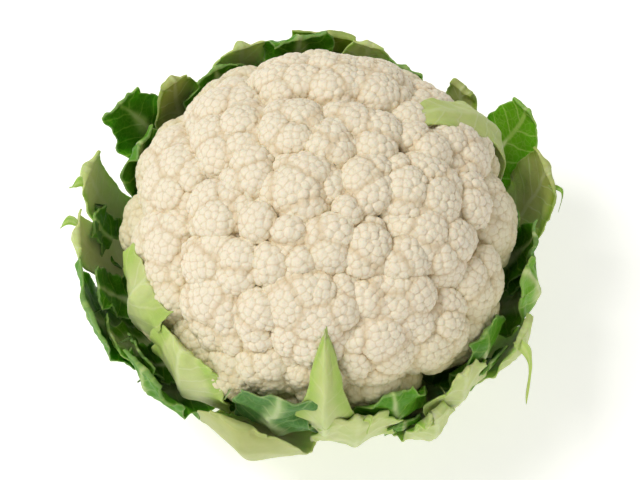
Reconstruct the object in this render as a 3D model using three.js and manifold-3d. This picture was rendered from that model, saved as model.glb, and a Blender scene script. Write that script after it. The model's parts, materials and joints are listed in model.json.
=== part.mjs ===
// A trimmed head of cauliflower: the cut stalk, the florets that make up the curd,
// and the collar of leaves that were cut off level around it.
//
// Millimetres, +Z up. The origin is the centre of the flat cut across the stalk, on which
// the head stands. Azimuths are in degrees, counter-clockwise from +X seen from above.

import * as THREE from "three";
import Module from "manifold-3d";

const wasm = await Module();
wasm.setup();

// The curd is a low dome: an ellipsoid that all the florets reach up to.
const CURD_RADIUS = 85;
const CURD_HALF_HEIGHT = 68;
const CURD_CENTRE_Z = 72;

// The stalk: a cut column that swells into a head where the florets branch off.
const STALK_RADIUS = 21;
const STALK_NECK_Z = 42;
const STALK_CHAMFER = 1.2;
const HEAD_RADIUS = 38;
const HEAD_HALF_HEIGHT = 24;
const STALK_SIDES = 28;

// Clearances between neighbouring pieces, and how far lobes of one floret run together.
const FLORET_GAP = 0.5;
const HEAD_GAP = 0.5;
const LEAF_GAP = 0.5;
const LOBE_OVERLAP = 2.5;

// A lobe is part of a ball somewhat wider than the lobe that shows.
const BALL_FULLNESS = 1.45;
// Rounding of a lobe's edges: a higher power gives sharper edges.
const EDGE_POWER = 9;
// Balls from this radius up get the finer of two facet sizes.
const LARGE_BALL = 24;

// Leaves: the stub starts beside the stalk, passes under the curd and rises around it.
const LEAF_FOOT_RADIUS = 24;
const LEAF_UNDER_RADIUS = 62;
const BLADE_THICKNESS = 1.7;
const LEAF_STEPS_ALONG = 7;
const LEAF_STEPS_ACROSS = 4;

const CURD_COLOUR = 0xf1e4cb;
const STALK_COLOUR = 0xdde3bd;

const radians = THREE.MathUtils.degToRad;

// ---------------------------------------------------------------------------------------
// Florets
// ---------------------------------------------------------------------------------------

// Each floret is one branch, made of one or more round lobes. A lobe is
// [azimuth, polar angle from the top, size, height above the dome].
const FLORETS = {
  floret_crown: [[225, 8, 23, 1]],
  floret_crown_back_left: [[121, 17, 19, 1]],
  floret_crown_back_right: [[76, 9, 14, 0], [62, 20, 15, 0], [37, 21, 16, 0.5]],
  floret_crown_right: [[347, 16, 17, 0], [306, 15, 12, -0.5]],
  floret_crown_front: [[277, 23, 17, 0.5]],
  floret_crown_front_left: [[222, 24, 13, 0], [250, 23, 13, 0.5], [257, 29, 12, 0]],
  floret_crown_left: [[178, 21, 17, 0]],
  floret_back: [[103, 41, 20, 3], [85, 40, 21, 3.5], [67, 43, 21, 3]],
  floret_back_right: [[43, 40, 15, -0.5], [45, 58, 20, 0]],
  floret_back_left: [[150, 33, 24, 1.5], [136, 46, 22, 1]],
  floret_left: [[201, 33, 19, 1]],
  floret_front_left: [[243, 33, 15, 0]],
  floret_front_right: [[301, 28, 17, 0.5]],
  floret_right: [[352, 32, 24, 2], [333, 40, 26, 2], [314, 37, 15, 1]],
  floret_right_back: [[21, 35, 15, 1], [21, 52, 18, 1.5], [27, 66, 18, 1], [358, 50, 13, 1]],
  floret_right_rim: [[2, 70, 22, 0]],
  floret_right_front_rim: [[334, 66, 20, 0], [325, 82, 18, 0]],
  floret_right_front: [[292, 41, 15, 0], [307, 47, 18, 1], [311, 64, 20, 1.5], [290, 58, 19, 1.5]],
  floret_front: [[261, 42, 20, 2], [271, 43, 20, 2], [265, 52, 19, 1.5]],
  floret_front_low: [[266, 67, 16, 0], [251, 65, 17, 0.5]],
  floret_front_left_small: [[246, 48, 13, 2], [250, 57, 13, 0]],
  floret_left_front: [[217, 42, 20, 1], [229, 38, 14, 1], [229, 54, 17, 1], [237, 62, 15, 0]],
  floret_left_front_low: [[241, 76, 18, 0.5], [226, 76, 18, -2]],
  floret_left_back: [[172, 52, 22, 1.5], [160, 62, 20, 1]],
  floret_left_rim: [[196, 60, 21, 1], [208, 68, 18, 0]],
  floret_rim_back: [[90, 72, 22, 0], [60, 78, 19, 0]],
  floret_rim_back_left: [[122, 74, 22, 0], [148, 82, 18, 0]],
  floret_rim_left: [[180, 82, 18, 0], [206, 88, 17, 0]],
  floret_rim_front: [[258, 87, 16, -2], [289, 86, 17, -1.5]],
};

// The point on the dome at an azimuth and polar angle, and the outward normal there.
function domePoint(azimuth, polar) {
  const a = radians(azimuth);
  const p = radians(polar);
  const point = new THREE.Vector3(
    CURD_RADIUS * Math.sin(p) * Math.cos(a),
    CURD_RADIUS * Math.sin(p) * Math.sin(a),
    CURD_CENTRE_Z + CURD_HALF_HEIGHT * Math.cos(p),
  );
  const normal = new THREE.Vector3(
    point.x / CURD_RADIUS ** 2,
    point.y / CURD_RADIUS ** 2,
    (point.z - CURD_CENTRE_Z) / CURD_HALF_HEIGHT ** 2,
  ).normalize();
  return { point, normal };
}

// A lobe's ball: it touches the dome from inside, raised or sunk by its lift.
function makeBall(floret, [azimuth, polar, size, lift]) {
  const { point, normal } = domePoint(azimuth, polar);
  const radius = BALL_FULLNESS * size;
  const centre = point.clone().addScaledVector(normal, lift - radius);
  return { floret, centre, normal, radius };
}

// The plane where two balls meet, as seen from the first: neighbouring florets are held
// apart by a gap, and lobes of one floret run into each other.
function meetingPlane(ball, other) {
  const across = other.centre.clone().sub(ball.centre);
  const span = across.length();
  const normal = across.divideScalar(span);
  const reach = (span ** 2 + ball.radius ** 2 - other.radius ** 2) / (2 * span);
  const margin = ball.floret === other.floret ? LOBE_OVERLAP : -FLORET_GAP / 2;
  return { normal, offset: normal.dot(ball.centre) + reach + margin };
}

// The plane under a lobe, tangent to the swollen head of the stalk.
function headPlane(ball) {
  const outward = ball.normal.clone();
  outward.z = Math.max(outward.z, 0);
  outward.normalize();
  const level = Math.hypot(HEAD_RADIUS * Math.hypot(outward.x, outward.y), HEAD_HALF_HEIGHT * outward.z);
  const normal = outward.clone().negate();
  return { normal, offset: -(outward.z * CURD_CENTRE_Z + level + HEAD_GAP) };
}

function planesAround(ball, balls) {
  const planes = [headPlane(ball)];
  for (const other of balls) {
    const near = ball.centre.distanceTo(other.centre) < ball.radius + other.radius;
    if (other !== ball && near) planes.push(meetingPlane(ball, other));
  }
  return planes;
}

// How far a point is inside a ball and a set of planes.
function depthInside(point, ball, planes) {
  let depth = ball.radius - point.distanceTo(ball.centre);
  for (const plane of planes) depth = Math.min(depth, plane.offset - plane.normal.dot(point));
  return depth;
}

// The point on the lobe's axis that lies deepest inside it.
function lobeHeart(ball, planes) {
  let heart = null;
  let best = 0;
  for (let step = -0.9; step < 1; step += 0.05) {
    const point = ball.centre.clone().addScaledVector(ball.normal, step * ball.radius);
    const depth = depthInside(point, ball, planes);
    if (depth > best) {
      best = depth;
      heart = point;
    }
  }
  if (heart === null) throw new Error(`a lobe of ${ball.floret} has no room`);
  return heart;
}

// The distance from the heart to the lobe's surface, rounded where faces meet.
function lobeReach(direction, heart, ball, planes) {
  const fromCentre = heart.clone().sub(ball.centre);
  const along = fromCentre.dot(direction);
  const reachBall = -along + Math.sqrt(along ** 2 + ball.radius ** 2 - fromCentre.lengthSq());
  let sum = reachBall ** -EDGE_POWER;
  for (const plane of planes) {
    const slope = plane.normal.dot(direction);
    if (slope > 1e-6) sum += ((plane.offset - plane.normal.dot(heart)) / slope) ** -EDGE_POWER;
  }
  return sum ** (-1 / EDGE_POWER);
}

function lobeSolid(ball, balls) {
  const planes = planesAround(ball, balls);
  const heart = lobeHeart(ball, planes);
  const geometry = weldedSphere(ball.radius >= LARGE_BALL ? 2 : 1);
  for (let i = 0; i < geometry.points.length; i += 3) {
    const direction = new THREE.Vector3().fromArray(geometry.points, i).normalize();
    const reach = lobeReach(direction, heart, ball, planes);
    heart.clone().addScaledVector(direction, reach).toArray(geometry.points, i);
  }
  return solidFrom(geometry.points, geometry.triangles);
}

// An icosahedron sphere whose triangles share their corners.
function weldedSphere(detail) {
  const position = new THREE.IcosahedronGeometry(1, detail).getAttribute("position");
  const points = [];
  const triangles = [];
  const seen = new Map();
  for (let i = 0; i < position.count; i += 1) {
    const corner = [position.getX(i), position.getY(i), position.getZ(i)];
    const key = corner.map((value) => Math.round(value * 1e4)).join();
    if (!seen.has(key)) {
      seen.set(key, points.length / 3);
      points.push(...corner);
    }
    triangles.push(seen.get(key));
  }
  return { points, triangles };
}

function solidFrom(points, triangles) {
  return new wasm.Manifold(new wasm.Mesh({
    numProp: 3,
    vertProperties: new Float32Array(points),
    triVerts: new Uint32Array(triangles),
  }));
}

function floretSolid(name, balls) {
  return balls
    .filter((ball) => ball.floret === name)
    .map((ball) => lobeSolid(ball, balls))
    .reduce((whole, lobe) => whole.add(lobe));
}

// ---------------------------------------------------------------------------------------
// Leaves
// ---------------------------------------------------------------------------------------

// The leaf colours, from the pale thick stubs to the dark green blades.
const PALE = 0xd3dba6;
const OLIVE = 0xa9b978;
const BRIGHT = 0x8dbb4c;
const DARK = 0x2f6a34;
const BLUISH = 0x3c7a5c;

// One row for each leaf:
//   az      azimuth of the middle of the leaf at its tip
//   lean    how far, in degrees, the tip has swung round from the foot
//   footZ   height of the foot on the stalk
//   belly   [radius, height] that the stub bulges towards as it turns up
//   tip     [radius, height] of the cut end
//   half    half-widths at the foot, the belly and the rim
//   reach   how far up the left edge, the middle and the right edge go, as parts of the whole
//   cup     how strongly the leaf is bent across: 1 follows the ring, less than 0 bends outwards
//   roll    degrees that the two edges turn further in
//   rib     thickness of the midrib at the foot and at the rim
const LEAVES = {
  leaf_back_crumpled: {
    az: 96, lean: 0, footZ: 24, belly: [99, 36], tip: [101, 88], half: [7, 16, 14],
    reach: [0.93, 1, 0.88], cup: 1, roll: 30, rib: [6, 2], colour: DARK,
  },
  leaf_back_ribbed: {
    az: 87, lean: -4, footZ: 13, belly: [107, 28], tip: [101, 80], half: [7, 16, 15],
    reach: [0.86, 1, 0.95], cup: 0.6, roll: 0, rib: [7, 3], colour: OLIVE,
  },
  leaf_back_rounded: {
    az: 76, lean: -3, footZ: 24, belly: [98, 40], tip: [97, 88], half: [7, 14, 13],
    reach: [0.86, 1, 0.86], cup: 1.2, roll: 20, rib: [6, 2.5], colour: PALE,
  },
  leaf_back_low: {
    az: 64, lean: 3, footZ: 34, belly: [93, 42], tip: [89, 86], half: [7, 15, 14],
    reach: [0.85, 1, 0.9], cup: 1, roll: 10, rib: [6, 2], colour: DARK,
  },
  leaf_back_olive: {
    az: 50, lean: 4, footZ: 13, belly: [106, 28], tip: [98, 79], half: [7, 13, 11],
    reach: [0.8, 1, 0.8], cup: 1.4, roll: 15, rib: [7, 3], colour: OLIVE,
  },
  leaf_over_curd: {
    az: 36, lean: 9, footZ: 34, belly: [139, 82], tip: [43, 135], half: [7, 13, 9],
    reach: [0.9, 0.97, 0.94], cup: 1, roll: 0, rib: [6, 2], colour: PALE,
  },
  leaf_right_flat: {
    az: 36, lean: 3, footZ: 24, belly: [102, 32], tip: [113, 80], half: [7, 14, 15],
    reach: [0.93, 0.98, 0.8], cup: 0.2, roll: 0, rib: [6, 1.5], colour: BRIGHT,
  },
  leaf_right_olive: {
    az: 18, lean: 2, footZ: 13, belly: [106, 28], tip: [105, 82], half: [8, 17, 17],
    reach: [0.9, 1, 0.82], cup: 0.9, roll: 10, rib: [7, 3], colour: OLIVE,
  },
  leaf_right_pointed: {
    az: -2, lean: -3, footZ: 34, belly: [93, 42], tip: [94, 84], half: [7, 13, 11],
    reach: [0.75, 1, 0.75], cup: 1, roll: 20, rib: [6, 1.5], colour: DARK,
  },
  leaf_right_toothed: {
    az: -15, lean: -4, footZ: 24, belly: [99, 36], tip: [100, 84], half: [7, 16, 16],
    reach: [0.88, 1, 0.85], cup: 1.2, roll: 25, rib: [6, 2.5], colour: BRIGHT,
  },
  leaf_right_low: {
    az: -27, lean: 2, footZ: 13, belly: [101, 28], tip: [98, 78], half: [7, 15, 13],
    reach: [0.9, 1, 0.88], cup: 1, roll: 10, rib: [7, 3], colour: PALE,
  },
  leaf_front_right_blade: {
    az: -38, lean: 0, footZ: 34, belly: [93, 42], tip: [88, 90], half: [7, 16, 15],
    reach: [0.9, 1, 0.92], cup: 1, roll: 15, rib: [6, 1.5], colour: DARK,
  },
  leaf_front_right_wavy: {
    az: -49, lean: 3, footZ: 24, belly: [98, 34], tip: [92, 86], half: [7, 17, 16],
    reach: [0.9, 1, 0.9], cup: 0.9, roll: 0, rib: [6, 2.5], colour: PALE,
  },
  leaf_front_right_stub: {
    az: -60, lean: -2, footZ: 13, belly: [98, 26], tip: [94, 74], half: [8, 13, 10],
    reach: [0.9, 1, 0.9], cup: 1.3, roll: 10, rib: [8, 5], colour: PALE,
  },
  leaf_front_cups: {
    az: -69, lean: 0, footZ: 34, belly: [94, 42], tip: [87, 90], half: [7, 15, 14],
    reach: [0.92, 1, 0.9], cup: 1, roll: 20, rib: [6, 1.5], colour: DARK,
  },
  leaf_front_upright: {
    az: -88, lean: 1, footZ: 31, belly: [127, 88], tip: [58, 124], half: [7, 15, 3],
    reach: [0.92, 0.97, 0.92], cup: 1, roll: 0, rib: [6, 3], colour: PALE,
  },
  leaf_front_stub: {
    az: -80, lean: 0, footZ: 18, belly: [92, 32], tip: [90, 84], half: [8, 17, 16],
    reach: [0.9, 1, 0.86], cup: 0.9, roll: 5, rib: [6, 3], colour: PALE,
  },
  leaf_front_folded: {
    az: -103, lean: -2, footZ: 30, belly: [97, 44], tip: [86, 98], half: [8, 17, 17],
    reach: [0.88, 0.95, 1], cup: 1, roll: 15, rib: [6, 2], colour: BLUISH,
  },
  leaf_front_outer: {
    az: -111, lean: -3, footZ: 13, belly: [100, 25], tip: [94, 76], half: [9, 24, 21],
    reach: [0.92, 1, 0.9], cup: 1, roll: 10, rib: [8, 4], colour: OLIVE,
  },
  leaf_left_winged: {
    az: -130, lean: 2, footZ: 26, belly: [98, 38], tip: [86, 98], half: [8, 20, 20],
    reach: [0.95, 1, 0.9], cup: 1, roll: 10, rib: [7, 3], colour: PALE,
  },
  leaf_left_dark: {
    az: -139, lean: 0, footZ: 13, belly: [102, 28], tip: [98, 78], half: [7, 16, 15],
    reach: [0.92, 1, 0.9], cup: 0.9, roll: 10, rib: [6, 2], colour: DARK,
  },
  leaf_left_cup: {
    az: -154, lean: 3, footZ: 33, belly: [94, 44], tip: [86, 97], half: [8, 19, 19],
    reach: [0.86, 1, 0.9], cup: 1.1, roll: 10, rib: [6, 3], colour: PALE,
  },
  leaf_left_square: {
    az: -161, lean: 0, footZ: 18, belly: [106, 30], tip: [106, 80], half: [7, 16, 15],
    reach: [0.96, 1, 0.96], cup: 0.8, roll: 0, rib: [6, 2], colour: DARK,
  },
  leaf_left_yellow: {
    az: -178, lean: 2, footZ: 25, belly: [102, 38], tip: [106, 86], half: [8, 16, 15],
    reach: [0.85, 1, 0.9], cup: 1, roll: 10, rib: [6, 3], colour: PALE,
  },
  leaf_left_stub: {
    az: 164, lean: -2, footZ: 13, belly: [106, 30], tip: [106, 85], half: [8, 16, 14],
    reach: [0.9, 1, 0.92], cup: 1, roll: 5, rib: [8, 4], colour: PALE,
  },
  leaf_left_folded: {
    az: 154, lean: 0, footZ: 34, belly: [93, 44], tip: [91, 87], half: [7, 16, 15],
    reach: [0.9, 1, 0.85], cup: 1, roll: 20, rib: [6, 1.5], colour: DARK,
  },
  leaf_back_left_blade: {
    az: 142, lean: 2, footZ: 24, belly: [104, 38], tip: [111, 84], half: [7, 15, 15],
    reach: [0.8, 0.96, 0.98], cup: 0.5, roll: 0, rib: [6, 1.5], colour: DARK,
  },
  leaf_back_left_hollow: {
    az: 132, lean: 0, footZ: 13, belly: [106, 30], tip: [98, 86], half: [8, 14, 13],
    reach: [0.88, 1, 0.9], cup: 1.3, roll: 20, rib: [7, 4], colour: OLIVE,
  },
  leaf_back_left_wavy: {
    az: 120, lean: 0, footZ: 34, belly: [94, 44], tip: [93, 85], half: [7, 16, 15],
    reach: [0.88, 1, 0.9], cup: 1, roll: 15, rib: [6, 1.5], colour: DARK,
  },
  leaf_back_left_arched: {
    az: 111, lean: 0, footZ: 13, belly: [106, 30], tip: [102, 83], half: [8, 15, 14],
    reach: [0.86, 1, 0.86], cup: 1.2, roll: 20, rib: [7, 4], colour: PALE,
  },
};

const smooth = (x) => THREE.MathUtils.smoothstep(x, 0, 1);

// The leaf's middle line in the half-plane through the stalk's axis, as [radius, height].
function middleLine(leaf) {
  const foot = new THREE.Vector2(LEAF_FOOT_RADIUS, leaf.footZ);
  const under = new THREE.Vector2(LEAF_UNDER_RADIUS, leaf.footZ - 5);
  const belly = new THREE.Vector2(...leaf.belly);
  const tip = new THREE.Vector2(...leaf.tip);
  return new THREE.CubicBezierCurve(foot, under, belly, tip);
}

function halfWidth(leaf, v) {
  const [foot, belly, rim] = leaf.half;
  if (v < 0.55) return foot + (belly - foot) * smooth(v / 0.55);
  return belly + (rim - belly) * smooth((v - 0.55) / 0.45);
}

// How far along the middle line the leaf goes at u, from -1 at one edge to 1 at the other.
function reachAt(leaf, u) {
  const [left, middle, right] = leaf.reach;
  return middle + ((right - left) / 2) * u + ((left + right) / 2 - middle) * u * u;
}

// A frame on the middle line: the place, the way across and the outward normal.
function leafFrame(leaf, line, v) {
  const at = line.getPoint(v);
  const along = line.getTangent(THREE.MathUtils.clamp(v, 0, 1));
  const azimuth = radians(leaf.az - leaf.lean * (1 - v ** 3));
  const out = new THREE.Vector3(Math.cos(azimuth), Math.sin(azimuth), 0);
  const across = new THREE.Vector3(-out.y, out.x, 0);
  const normal = out.clone().multiplyScalar(along.y);
  normal.z = -along.x;
  const place = out.clone().multiplyScalar(at.x);
  place.z = at.y;
  return { place, across, normal, radius: at.x };
}

// The point at (u, v) on the leaf's mid-surface and the outward normal there. The cross
// section is walked from the middle to the edge while its direction turns.
function leafPoint(leaf, line, u, v, grow) {
  const frame = leafFrame(leaf, line, v);
  const strides = 6;
  const stride = (u * (halfWidth(leaf, v) + grow)) / strides;
  let across = 0;
  let outward = 0;
  let turn = 0;
  for (let i = 0; i < strides; i += 1) {
    const part = (Math.abs(u) * (i + 0.5)) / strides;
    const distance = Math.abs(stride) * (i + 0.5);
    turn = (leaf.cup * distance) / frame.radius + radians(leaf.roll) * part ** 3;
    across += stride * Math.cos(turn);
    outward -= Math.abs(stride) * Math.sin(turn);
  }
  const place = frame.place.clone()
    .addScaledVector(frame.across, across)
    .addScaledVector(frame.normal, outward);
  const normal = frame.normal.clone().multiplyScalar(Math.cos(turn))
    .addScaledVector(frame.across, Math.sign(u) * Math.sin(turn));
  return { place, normal };
}

// The midrib stands out on the outer face and thins towards the rim and the edges.
function ribThickness(leaf, u, v) {
  const [foot, rim] = leaf.rib;
  const spread = (u * halfWidth(leaf, v)) / (5 + 3 * v);
  return (foot + (rim - foot) * v) * Math.exp(-spread * spread);
}

// A leaf as a closed solid, made fatter all round by grow.
function leafSolid(leaf, grow = 0) {
  const line = middleLine(leaf);
  const margin = grow / line.getLength();
  const columns = LEAF_STEPS_ACROSS + 1;
  const rows = LEAF_STEPS_ALONG + 1;
  const points = [];
  for (const side of [-1, 1]) {
    for (let row = 0; row < rows; row += 1) {
      for (let column = 0; column < columns; column += 1) {
        const u = (2 * column) / LEAF_STEPS_ACROSS - 1;
        const from = -margin;
        const to = reachAt(leaf, u) + margin;
        const v = from + ((to - from) * row) / LEAF_STEPS_ALONG;
        const { place, normal } = leafPoint(leaf, line, u, v, grow);
        const rib = side > 0 ? ribThickness(leaf, u, v) : 0;
        place.addScaledVector(normal, side * (BLADE_THICKNESS / 2 + grow) + rib);
        points.push(place.x, place.y, place.z);
      }
    }
  }
  return solidFrom(points, shellTriangles(rows, columns));
}

// The triangles of a closed shell between two grids of points, inner first and then outer.
function shellTriangles(rows, columns) {
  const triangles = [];
  const inner = (row, column) => row * columns + column;
  const outer = (row, column) => rows * columns + inner(row, column);
  const quad = (a, b, c, d) => triangles.push(a, b, c, a, c, d);
  for (let row = 0; row + 1 < rows; row += 1) {
    for (let column = 0; column + 1 < columns; column += 1) {
      quad(inner(row, column), inner(row + 1, column), inner(row + 1, column + 1), inner(row, column + 1));
      quad(outer(row, column), outer(row, column + 1), outer(row + 1, column + 1), outer(row + 1, column));
    }
  }
  const last = columns - 1;
  for (let row = 0; row + 1 < rows; row += 1) {
    quad(inner(row, 0), outer(row, 0), outer(row + 1, 0), inner(row + 1, 0));
    quad(inner(row, last), inner(row + 1, last), outer(row + 1, last), outer(row, last));
  }
  const top = rows - 1;
  for (let column = 0; column + 1 < columns; column += 1) {
    quad(inner(0, column), inner(0, column + 1), outer(0, column + 1), outer(0, column));
    quad(inner(top, column), outer(top, column), outer(top, column + 1), inner(top, column + 1));
  }
  return triangles;
}

// ---------------------------------------------------------------------------------------
// The stalk and the whole head
// ---------------------------------------------------------------------------------------

// The stalk is turned about its axis: a flat cut foot, a straight neck and a domed head.
function stalkGeometry() {
  const profile = [
    new THREE.Vector2(0, 0),
    new THREE.Vector2(STALK_RADIUS - STALK_CHAMFER, 0),
    new THREE.Vector2(STALK_RADIUS, STALK_CHAMFER),
    new THREE.Vector2(STALK_RADIUS, STALK_NECK_Z),
    new THREE.Vector2(STALK_RADIUS + 4, STALK_NECK_Z + 8),
  ];
  for (let angle = -30; angle < 90; angle += 20) {
    const a = radians(angle);
    const height = CURD_CENTRE_Z + HEAD_HALF_HEIGHT * Math.sin(a);
    profile.push(new THREE.Vector2(HEAD_RADIUS * Math.cos(a), height));
  }
  profile.push(new THREE.Vector2(0, CURD_CENTRE_Z + HEAD_HALF_HEIGHT));
  return new THREE.LatheGeometry(profile, STALK_SIDES).rotateX(Math.PI / 2);
}

function geometryOf(solid) {
  const mesh = solid.getMesh();
  const geometry = new THREE.BufferGeometry();
  geometry.setAttribute("position", new THREE.BufferAttribute(mesh.vertProperties, 3));
  geometry.setIndex(new THREE.BufferAttribute(mesh.triVerts, 1));
  geometry.computeVertexNormals();
  return geometry;
}

function addMesh(group, name, geometry, colour, roughness) {
  const material = new THREE.MeshStandardMaterial({ color: colour, roughness, metalness: 0 });
  const mesh = new THREE.Mesh(geometry, material);
  mesh.name = name;
  group.add(mesh);
}

function largestBody(solid) {
  return solid.decompose().reduce((best, body) => (body.volume() > best.volume() ? body : best));
}

// Leaves are placed in order, each trimmed clear of those already there.
function placeLeaves() {
  const placed = [];
  for (const [name, leaf] of Object.entries(LEAVES)) {
    let solid = leafSolid(leaf);
    for (const other of placed) {
      if (solid.intersect(other.clear).volume() > 0) solid = solid.subtract(other.clear);
    }
    placed.push({ name, leaf, solid: largestBody(solid), clear: leafSolid(leaf, LEAF_GAP) });
  }
  return placed;
}

function cauliflower() {
  const head = new THREE.Group();
  addMesh(head, "stalk", stalkGeometry(), STALK_COLOUR, 0.6);
  const balls = Object.entries(FLORETS).flatMap(
    ([name, lobes]) => lobes.map((lobe) => makeBall(name, lobe)),
  );
  for (const name of Object.keys(FLORETS)) {
    addMesh(head, name, geometryOf(floretSolid(name, balls)), CURD_COLOUR, 0.7);
  }
  for (const { name, leaf, solid } of placeLeaves()) {
    addMesh(head, name, geometryOf(solid), leaf.colour, 0.5);
  }
  return head;
}

export default cauliflower();
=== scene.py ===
"""A trimmed head of cauliflower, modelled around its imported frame.

Laid out as an add-on and run as a script. Lengths are metres, in the frame's own axes:
+Z runs up the stalk and the origin is the centre of the flat cut across it.
"""

import json
import math
import random

import bmesh
import bpy
import numpy as np
from bpy.props import FloatProperty, FloatVectorProperty, PointerProperty
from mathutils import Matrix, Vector, bvhtree, kdtree, noise


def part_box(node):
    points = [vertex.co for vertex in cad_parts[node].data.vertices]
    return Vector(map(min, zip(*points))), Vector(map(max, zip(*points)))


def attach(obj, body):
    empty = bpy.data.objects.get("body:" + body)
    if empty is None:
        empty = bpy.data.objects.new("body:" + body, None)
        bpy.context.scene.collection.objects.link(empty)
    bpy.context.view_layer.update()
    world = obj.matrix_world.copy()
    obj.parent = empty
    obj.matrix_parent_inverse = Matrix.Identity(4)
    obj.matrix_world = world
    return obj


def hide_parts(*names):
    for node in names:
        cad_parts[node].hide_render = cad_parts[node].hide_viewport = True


bl_info = {
    "name": "Cauliflower Head",
    "version": (1, 0, 0),
    "blender": (4, 5, 0),
    "location": "View3D > Sidebar > Cauliflower",
    "description": "A head of cauliflower with a beaded curd and a collar of cut leaves",
    "category": "Add Mesh",
}

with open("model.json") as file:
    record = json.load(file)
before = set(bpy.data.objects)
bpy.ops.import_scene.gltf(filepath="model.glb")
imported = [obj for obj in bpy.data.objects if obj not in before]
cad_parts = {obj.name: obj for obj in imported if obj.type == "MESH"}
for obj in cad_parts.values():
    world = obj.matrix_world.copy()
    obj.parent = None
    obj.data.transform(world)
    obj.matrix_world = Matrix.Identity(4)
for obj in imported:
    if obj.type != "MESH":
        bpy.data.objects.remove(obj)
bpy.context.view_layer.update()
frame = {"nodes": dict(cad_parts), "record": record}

MM = 0.001
TINY = 0.001 * MM
BODY = "root"
SLOT_OF = {part["node"]: part["material_slot"] for part in frame["record"]["subparts"]}
FLORETS = sorted(name for name in frame["nodes"] if name.startswith("floret_"))
LEAVES = sorted(name for name in frame["nodes"] if name.startswith("leaf_"))


# ------------------------------------------------------------------------------------
# Settings
# ------------------------------------------------------------------------------------


class CurdSettings(bpy.types.PropertyGroup):
    """Sizes and colours of the curd."""

    voxel: FloatProperty(
        name="Voxel", description="Grid that the florets are remeshed on",
        default=1.0 * MM, unit="LENGTH",
    )
    inset: FloatProperty(
        name="Inset", description="How far a floret draws in before its lobes swell",
        default=0.5 * MM, unit="LENGTH",
    )
    lobe_spacing: FloatProperty(
        name="Lobe spacing", description="Distance between the lobes of a floret",
        default=11.5 * MM, unit="LENGTH",
    )
    lobe_height: FloatProperty(
        name="Lobe height", description="How far a lobe swells out",
        default=3.0 * MM, unit="LENGTH",
    )
    knob_spacing: FloatProperty(
        name="Knob spacing", description="Distance between the knobs on a lobe",
        default=2.8 * MM, unit="LENGTH",
    )
    knob_height: FloatProperty(
        name="Knob height", description="How far a knob swells out",
        default=0.95 * MM, unit="LENGTH",
    )
    bead_spacing: FloatProperty(
        name="Bead spacing", description="Distance between the beads on a knob",
        default=1.3 * MM, unit="LENGTH",
    )
    bead_height: FloatProperty(
        name="Bead height", description="How far a bead swells out",
        default=0.26 * MM, unit="LENGTH",
    )
    # Painted shade between florets: the clefts are darkened within this distance of a neighbour.
    cleft_reach: FloatProperty(
        name="Cleft reach",
        description="The clefts are tinted within this distance of a neighbour",
        default=5 * MM, unit="LENGTH",
    )
    fine_depth: FloatProperty(
        name="Fine depth", description="Beads are modelled down to this depth in the clefts",
        default=11 * MM, unit="LENGTH",
    )
    cream: FloatVectorProperty(
        name="Cream", description="Colour of the raised beads",
        default=(0.88, 0.80, 0.63), subtype="COLOR", min=0, max=1,
    )
    # Painted shade: this darker, warmer colour is painted into the grooves between lobes, knobs
    # and beads and into the clefts between florets, where shade falls.
    tan: FloatVectorProperty(
        name="Tan", description="Colour in the grooves between knobs",
        default=(0.62, 0.46, 0.25), subtype="COLOR", min=0, max=1,
    )
    # Painted shade deep in the clefts, below the curd's outer skin. The same colour also marks
    # random specks, which are the curd's own colour.
    cleft_shade_and_speck: FloatVectorProperty(
        name="Brown", description="Colour deep in the clefts",
        default=(0.34, 0.19, 0.08), subtype="COLOR", min=0, max=1,
    )


class LeafSettings(bpy.types.PropertyGroup):
    """Sizes of the leaves' veins."""

    vein_spacing: FloatProperty(
        name="Vein spacing", description="Distance between the side veins of a leaf",
        default=9.0 * MM, unit="LENGTH",
    )
    vein_height: FloatProperty(
        name="Vein height", description="How far the side veins stand out of a leaf's outer face",
        default=0.35 * MM, unit="LENGTH",
    )


class StageSettings(bpy.types.PropertyGroup):
    """The camera's place."""

    elevation: FloatProperty(
        name="Elevation", description="Angle of the camera above the floor",
        default=math.radians(63), subtype="ANGLE",
    )
    distance: FloatProperty(
        name="Distance", description="From the camera to the head", default=0.9, unit="LENGTH",
    )
    lens: FloatProperty(
        name="Lens", description="Focal length in millimetres", default=115.6, unit="CAMERA",
    )


# ------------------------------------------------------------------------------------
# Mesh helpers
# ------------------------------------------------------------------------------------


def link_piece(name, mesh):
    """A new object at the origin that holds a mesh."""
    piece = bpy.data.objects.new(name, mesh)
    bpy.context.scene.collection.objects.link(piece)
    return piece


def finish_piece(piece, node, material):
    """Shades a piece smooth, gives it its material, hangs it on the body and hides the node's own
    part.
    """
    piece.data.polygons.foreach_set("use_smooth", [True] * len(piece.data.polygons))
    piece.data.materials.clear()
    piece.data.materials.append(material)
    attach(piece, BODY)
    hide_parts(node)


def merged_copy(node):
    """A closed mesh with shared corners, copied from a node."""
    copy = bmesh.new()
    copy.from_mesh(frame["nodes"][node].data)
    bmesh.ops.remove_doubles(copy, verts=copy.verts, dist=TINY)
    return copy


def vertex_places(mesh):
    """The vertices of a mesh as an array of places."""
    places = np.empty(len(mesh.vertices) * 3, np.float32)
    mesh.vertices.foreach_get("co", places)
    return places.reshape(-1, 3).astype(float)


def vertex_normals(mesh):
    """The vertex normals of a mesh as an array."""
    normals = np.empty(len(mesh.vertices) * 3, np.float32)
    mesh.vertex_normals.foreach_get("vector", normals)
    return normals.reshape(-1, 3).astype(float)


def move_vertices(mesh, places):
    """Puts the vertices of a mesh at new places."""
    mesh.vertices.foreach_set("co", places.astype(np.float32).ravel())
    mesh.update()


def store_values(mesh, name, values):
    """Keeps one number for each vertex as an attribute that a material can read."""
    layer = mesh.attributes.new(name, "FLOAT", "POINT")
    layer.data.foreach_set("value", values.astype(np.float32))


def tree_of(places):
    """A search tree over an array of places."""
    tree = kdtree.KDTree(len(places))
    for index, place in enumerate(places):
        tree.insert(place, index)
    tree.balance()
    return tree


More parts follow.
